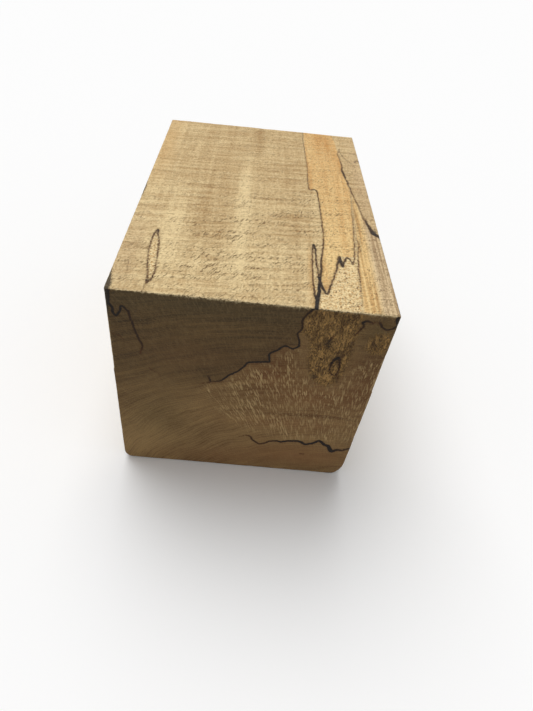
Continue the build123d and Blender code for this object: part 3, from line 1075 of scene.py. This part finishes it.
    # The grey-brown zone has a hard edge at the main line, and fades out on the left
    fade = add(tree, "MapRange", {"Value": grain.x, "From Min": -13.0, "From Max": -24.0,
                                  "To Min": 0.8, "To Max": 22.0},
               interpolation_type="SMOOTHSTEP")
    in_grey = add(tree, "Math", {0: value["grey"], 1: fade}, operation="DIVIDE")
    in_grey = add(tree, "MapRange", {"Value": in_grey, "From Min": -1.0, "From Max": 1.0},
                  interpolation_type="SMOOTHSTEP")
    grey_wood = tinted(tree, end_tone, warm, cool, ("463724", "96784E", "785236", "56503A"))
    end_wood = add(tree, "Mix", {0: in_grey, 6: end_wood, 7: grey_wood}, out=2,
                   data_type="RGBA")

    # Light rays, clustered; outside their zone they only cross-hatch the rings faintly
    in_rayed = add(tree, "Math", {0: ragged, 1: 5.0, 2: value["rayed"]},
                   operation="MULTIPLY_ADD")
    in_rayed = add(tree, "MapRange", {"Value": in_rayed, "From Min": -2.0, "From Max": 3.0})
    clustered = add(tree, "MapRange", {"Value": cluster, "From Min": -0.12, "From Max": 0.14,
                                       "To Min": 0.3})
    in_rayed = add(tree, "Math", {0: in_rayed, 1: clustered}, operation="MULTIPLY")
    in_rayed = add(tree, "Math", {0: in_rayed, 1: 0.07}, operation="MAXIMUM")
    light_rays = add(tree, "Math", {0: bright_rays, 1: in_rayed}, operation="MULTIPLY")
    end_wood = add(tree, "Mix", {0: light_rays, 6: end_wood, 7: colour("E4C38C")}, out=2,
                   data_type="RGBA")

    # Spongy wood: patches of ochre and grey-brown, curled fibres, and dark pits. Its fine light and dark
    # is partly painted light: painted highlights on the raised fibres and painted shade in the pits
    in_spongy = add(tree, "Math", {0: ragged, 1: 6.0, 2: value["spongy"]},
                    operation="MULTIPLY_ADD")
    in_spongy = add(tree, "MapRange", {"Value": in_spongy, "From Min": -0.8, "From Max": 1.2,
                                       "To Max": 0.9})
    sponge_place = add(tree, "VectorMath", {0: grain.place, 1: (1 / 0.7, 1 / 1.2, 1 / 1.9)},
                       operation="MULTIPLY")
    sponge = add(tree, "TexNoise", {"Vector": sponge_place, "Scale": 1.0, "Detail": 3.0,
                                    "Roughness": 0.6, "Distortion": 1.4})
    mottle_place = add(tree, "VectorMath", {0: grain.place, 1: (1 / 3, 1 / 12, 1 / 8)},
                       operation="MULTIPLY")
    mottle = add(tree, "TexNoise", {"Vector": mottle_place, "Scale": 1.0, "Detail": 2.0,
                                    "Distortion": 0.8})
    mottle = add(tree, "Math", {0: mottle, 1: 0.5}, operation="SUBTRACT")
    sponge = add(tree, "Math", {0: mottle, 1: 0.5, 2: sponge}, operation="MULTIPLY_ADD")
    # Light on the raised fibres and dark in the pits, since the bump reads the same tone: painted
    # highlight and painted shade over the real ochre and grey-brown patches
    sponge_tone_and_painted_light = add(tree, "MapRange", {"Value": sponge, "From Min": 0.35, "From Max": 0.58})
    sponge_wood_and_painted_light = add(tree, "Mix", {0: sponge_tone_and_painted_light, 6: colour("563D22"), 7: colour("D9AA69")},
                      out=2, data_type="RGBA")
    end_wood = add(tree, "Mix", {0: in_spongy, 6: end_wood, 7: sponge_wood_and_painted_light}, out=2,
                   data_type="RGBA")

    wood = add(tree, "Mix", {0: end, 6: long_wood, 7: end_wood}, out=2, data_type="RGBA")

    # Torn-up fibres over the front arris: pale, with dark gaps between them. The pale is partly a
    # painted highlight along the arris
    tuft = add(tree, "TexNoise", {"Vector": grain.place, "Scale": 1.3, "Detail": 2.0})
    tuft_tone = add(tree, "MapRange", {"Value": tuft, "From Min": 0.38, "From Max": 0.54})
    tufts_and_highlight = add(tree, "Mix", {0: tuft_tone, 6: colour("6A573C"), 7: colour("E6D0A2")}, out=2,
                data_type="RGBA")
    in_fuzz_band_and_highlight = add(tree, "Math", {0: ragged, 1: 1.5, 2: value["fuzz_and_highlight"]}, operation="MULTIPLY_ADD")
    in_fuzz_band_and_highlight = add(tree, "MapRange", {"Value": in_fuzz_band_and_highlight, "From Min": 0.2, "From Max": 0.75,
                                     "To Max": 0.8})
    wood = add(tree, "Mix", {0: in_fuzz_band_and_highlight, 6: wood, 7: tufts_and_highlight}, out=2, data_type="RGBA")

    # Zone lines: ragged edges, a thin brown halo, and ink that breaks up where it is weak
    rough_edge = add(tree, "TexNoise", {"Vector": grain.place, "Scale": 2.0, "Detail": 2.0})
    rough_edge = add(tree, "Math", {0: rough_edge, 1: 0.5}, operation="SUBTRACT")
    gap = add(tree, "Math", {0: rough_edge, 1: 0.7, 2: value["line_gap"]},
              operation="MULTIPLY_ADD")
    halo = add(tree, "MapRange", {"Value": gap, "From Min": 0.9, "From Max": 0.0,
                                  "To Min": 0.0, "To Max": 0.4}, interpolation_type="SMOOTHSTEP")
    weight = add(tree, "Math", {0: value["line_tone"], 1: 2.0}, operation="POWER")
    halo = add(tree, "Math", {0: halo, 1: weight}, operation="MULTIPLY")
    wood = add(tree, "Mix", {0: halo, 6: wood, 7: colour("6B4E2E")}, out=2, data_type="RGBA")
    ink = add(tree, "MapRange", {"Value": gap, "From Min": 0.22, "From Max": -0.03})
    broken = add(tree, "Math", {0: grit, 1: 5.0, 2: value["line_tone"]},
                 operation="MULTIPLY_ADD")
    whole = add(tree, "MapRange", {"Value": value["line_tone"], "From Min": 0.7,
                                   "From Max": 1.0})
    inked = add(tree, "Mix", {0: whole, 2: broken, 3: value["line_tone"]}, data_type="FLOAT",
                clamp_factor=True)
    strength = add(tree, "MapRange", {"Value": value["line_tone"], "From Max": 0.75})
    inked = add(tree, "MapRange", {"Value": inked, "To Max": strength})
    ink = add(tree, "Math", {0: ink, 1: inked}, operation="MULTIPLY")
    brown = add(tree, "Mix", {0: whole, 6: colour("5E3A20"), 7: colour("241C17")}, out=2,
                data_type="RGBA")
    wood = add(tree, "Mix", {0: ink, 6: wood, 7: brown}, out=2, data_type="RGBA")

    # Weathered black on the arrises
    stain = add(tree, "Math", {0: rough_edge, 1: 1.2, 2: value["stain"]},
                operation="MULTIPLY_ADD")
    stain = add(tree, "MapRange", {"Value": stain, "From Min": 0.25, "From Max": 0.7,
                                   "To Max": 0.88})
    wood = add(tree, "Mix", {0: stain, 6: wood, 7: colour("2E2923")}, out=2, data_type="RGBA")

    # Relief finer than the mesh, in millimetres of height
    long_relief = add(tree, "Math", {0: saw, 1: 0.7}, operation="MULTIPLY")
    long_relief = add(tree, "Math", {0: grit, 1: 0.7, 2: long_relief},
                      operation="MULTIPLY_ADD")
    long_relief = add(tree, "Math", {0: torn_mask, 1: -0.4, 2: long_relief},
                      operation="MULTIPLY_ADD")
    end_relief = add(tree, "Math", {0: rings, 1: 0.3}, operation="MULTIPLY")
    end_relief = add(tree, "Math", {0: pores, 1: 0.35, 2: end_relief},
                     operation="MULTIPLY_ADD")
    sponge_relief = add(tree, "Math", {0: sponge_tone_and_painted_light, 1: in_spongy}, operation="MULTIPLY")
    end_relief = add(tree, "Math", {0: sponge_relief, 1: 0.6, 2: end_relief},
                     operation="MULTIPLY_ADD")
    height = add(tree, "Mix", {0: end, 2: long_relief, 3: end_relief}, data_type="FLOAT")
    bump = add(tree, "Bump", {"Height": height, "Strength": 1.0, "Distance": MM})
    roughness = add(tree, "MapRange", {"Value": speckle, "To Min": 0.72, "To Max": 0.92})

    # Dry wood: index 1.5, with little shine left on a sawn surface
    shader = add(tree, "BsdfPrincipled", {"Base Color": wood, "Roughness": roughness,
                                          "IOR": 1.5, "Specular IOR Level": 0.3,
                                          "Normal": bump})
    add(tree, "OutputMaterial", {"Surface": shader})
    return material


def seen_by_eye(tree):
    """1 where the eye sees a surface straight, by a reflection or through glass, else 0."""
    rays = [add(tree, "LightPath", out=name) for name in
            ("Is Camera Ray", "Is Glossy Ray", "Is Transmission Ray")]
    seen = add(tree, "Math", {0: rays[0], 1: rays[1]}, operation="MAXIMUM")
    return add(tree, "Math", {0: seen, 1: rays[2]}, operation="MAXIMUM")


def pale_floor():
    """Plain matt floor: white to the eye, and greyer in what it throws back."""
    material = bpy.data.materials.new("pale_matt_floor")
    material.use_nodes = True
    tree = material.node_tree
    tree.nodes.clear()
    seen = seen_by_eye(tree)
    paint = add(tree, "Mix", {0: seen, 6: colour("8C8C8A"), 7: (1, 1, 1, 1)}, out=2,
                data_type="RGBA")
    shader = add(tree, "BsdfDiffuse", {"Color": paint})
    add(tree, "OutputMaterial", {"Surface": shader})
    return material


# ---------------------------------------------------------------- studio


SKY_LEVEL = 0.42  # what the sky alone gives a face that looks up
KEY_LEVEL = 0.56  # what the lamp adds on top of it
KEY_HEIGHT = math.radians(62)
KEY_AZIMUTH = math.radians(-25)  # from behind, a little to the left
KEY_SPREAD = math.radians(50)


def set_up_floor():
    """A wide floor under the block."""
    reach = 4.0
    mesh = bpy.data.meshes.new("floor")
    corners = ((-reach, -reach), (reach, -reach), (reach, reach), (-reach, reach))
    mesh.from_pydata([(x, y, cad_box[0][2]) for x, y in corners], [], [(0, 1, 2, 3)])
    mesh.materials.append(pale_floor())
    floor = bpy.data.objects.new("floor", mesh)
    bpy.context.scene.collection.objects.link(floor)


def set_up_light():
    """A soft sky and one wide soft lamp from above and behind, so the front is in shade."""
    world = bpy.data.worlds.new("studio")
    bpy.context.scene.world = world
    world.use_nodes = True
    tree = world.node_tree
    tree.nodes.clear()
    seen = seen_by_eye(tree)
    strength = add(tree, "MapRange", {"Value": seen, "To Min": SKY_LEVEL, "To Max": 1.0})
    sky = add(tree, "Background", {"Color": (1, 1, 1, 1), "Strength": strength})
    add(tree, "OutputWorld", {"Surface": sky})

    lamp = bpy.data.lights.new("key", "SUN")
    lamp.energy = KEY_LEVEL * math.pi / math.sin(KEY_HEIGHT)
    lamp.angle = KEY_SPREAD
    key = bpy.data.objects.new("key", lamp)
    toward = Vector((
        math.cos(KEY_HEIGHT) * math.sin(KEY_AZIMUTH),
        math.cos(KEY_HEIGHT) * math.cos(KEY_AZIMUTH),
        math.sin(KEY_HEIGHT),
    ))
    key.rotation_euler = toward.to_track_quat("Z", "Y").to_euler()
    bpy.context.scene.collection.objects.link(key)


def set_up_camera():
    """A camera held close above the front end, tipped down and rolled a little."""
    place = Vector((-6.6, -206.7, 203.7)) * MM
    aim = Vector((7.6, -61.7, 60.0)) * MM
    roll = math.radians(9.74)
    camera = bpy.data.cameras.new("camera")
    camera.sensor_width = 36.0
    camera.lens = 25.58
    camera.clip_start = 0.01
    eye = bpy.data.objects.new("camera", camera)
    facing = (aim - place).to_track_quat("-Z", "Y")
    turn = Quaternion((0, 0, 1), roll)
    eye.matrix_world = Matrix.Translation(place) @ (facing @ turn).to_matrix().to_4x4()
    bpy.context.scene.collection.objects.link(eye)
    bpy.context.scene.camera = eye


block = build_block()
block.data.materials.append(spalted_beech())
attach(block, "root")
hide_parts(BLOCK)

set_up_floor()
set_up_light()
set_up_camera()
bpy.context.scene.view_settings.view_transform = "Standard"

bpy.context.view_layer.update()
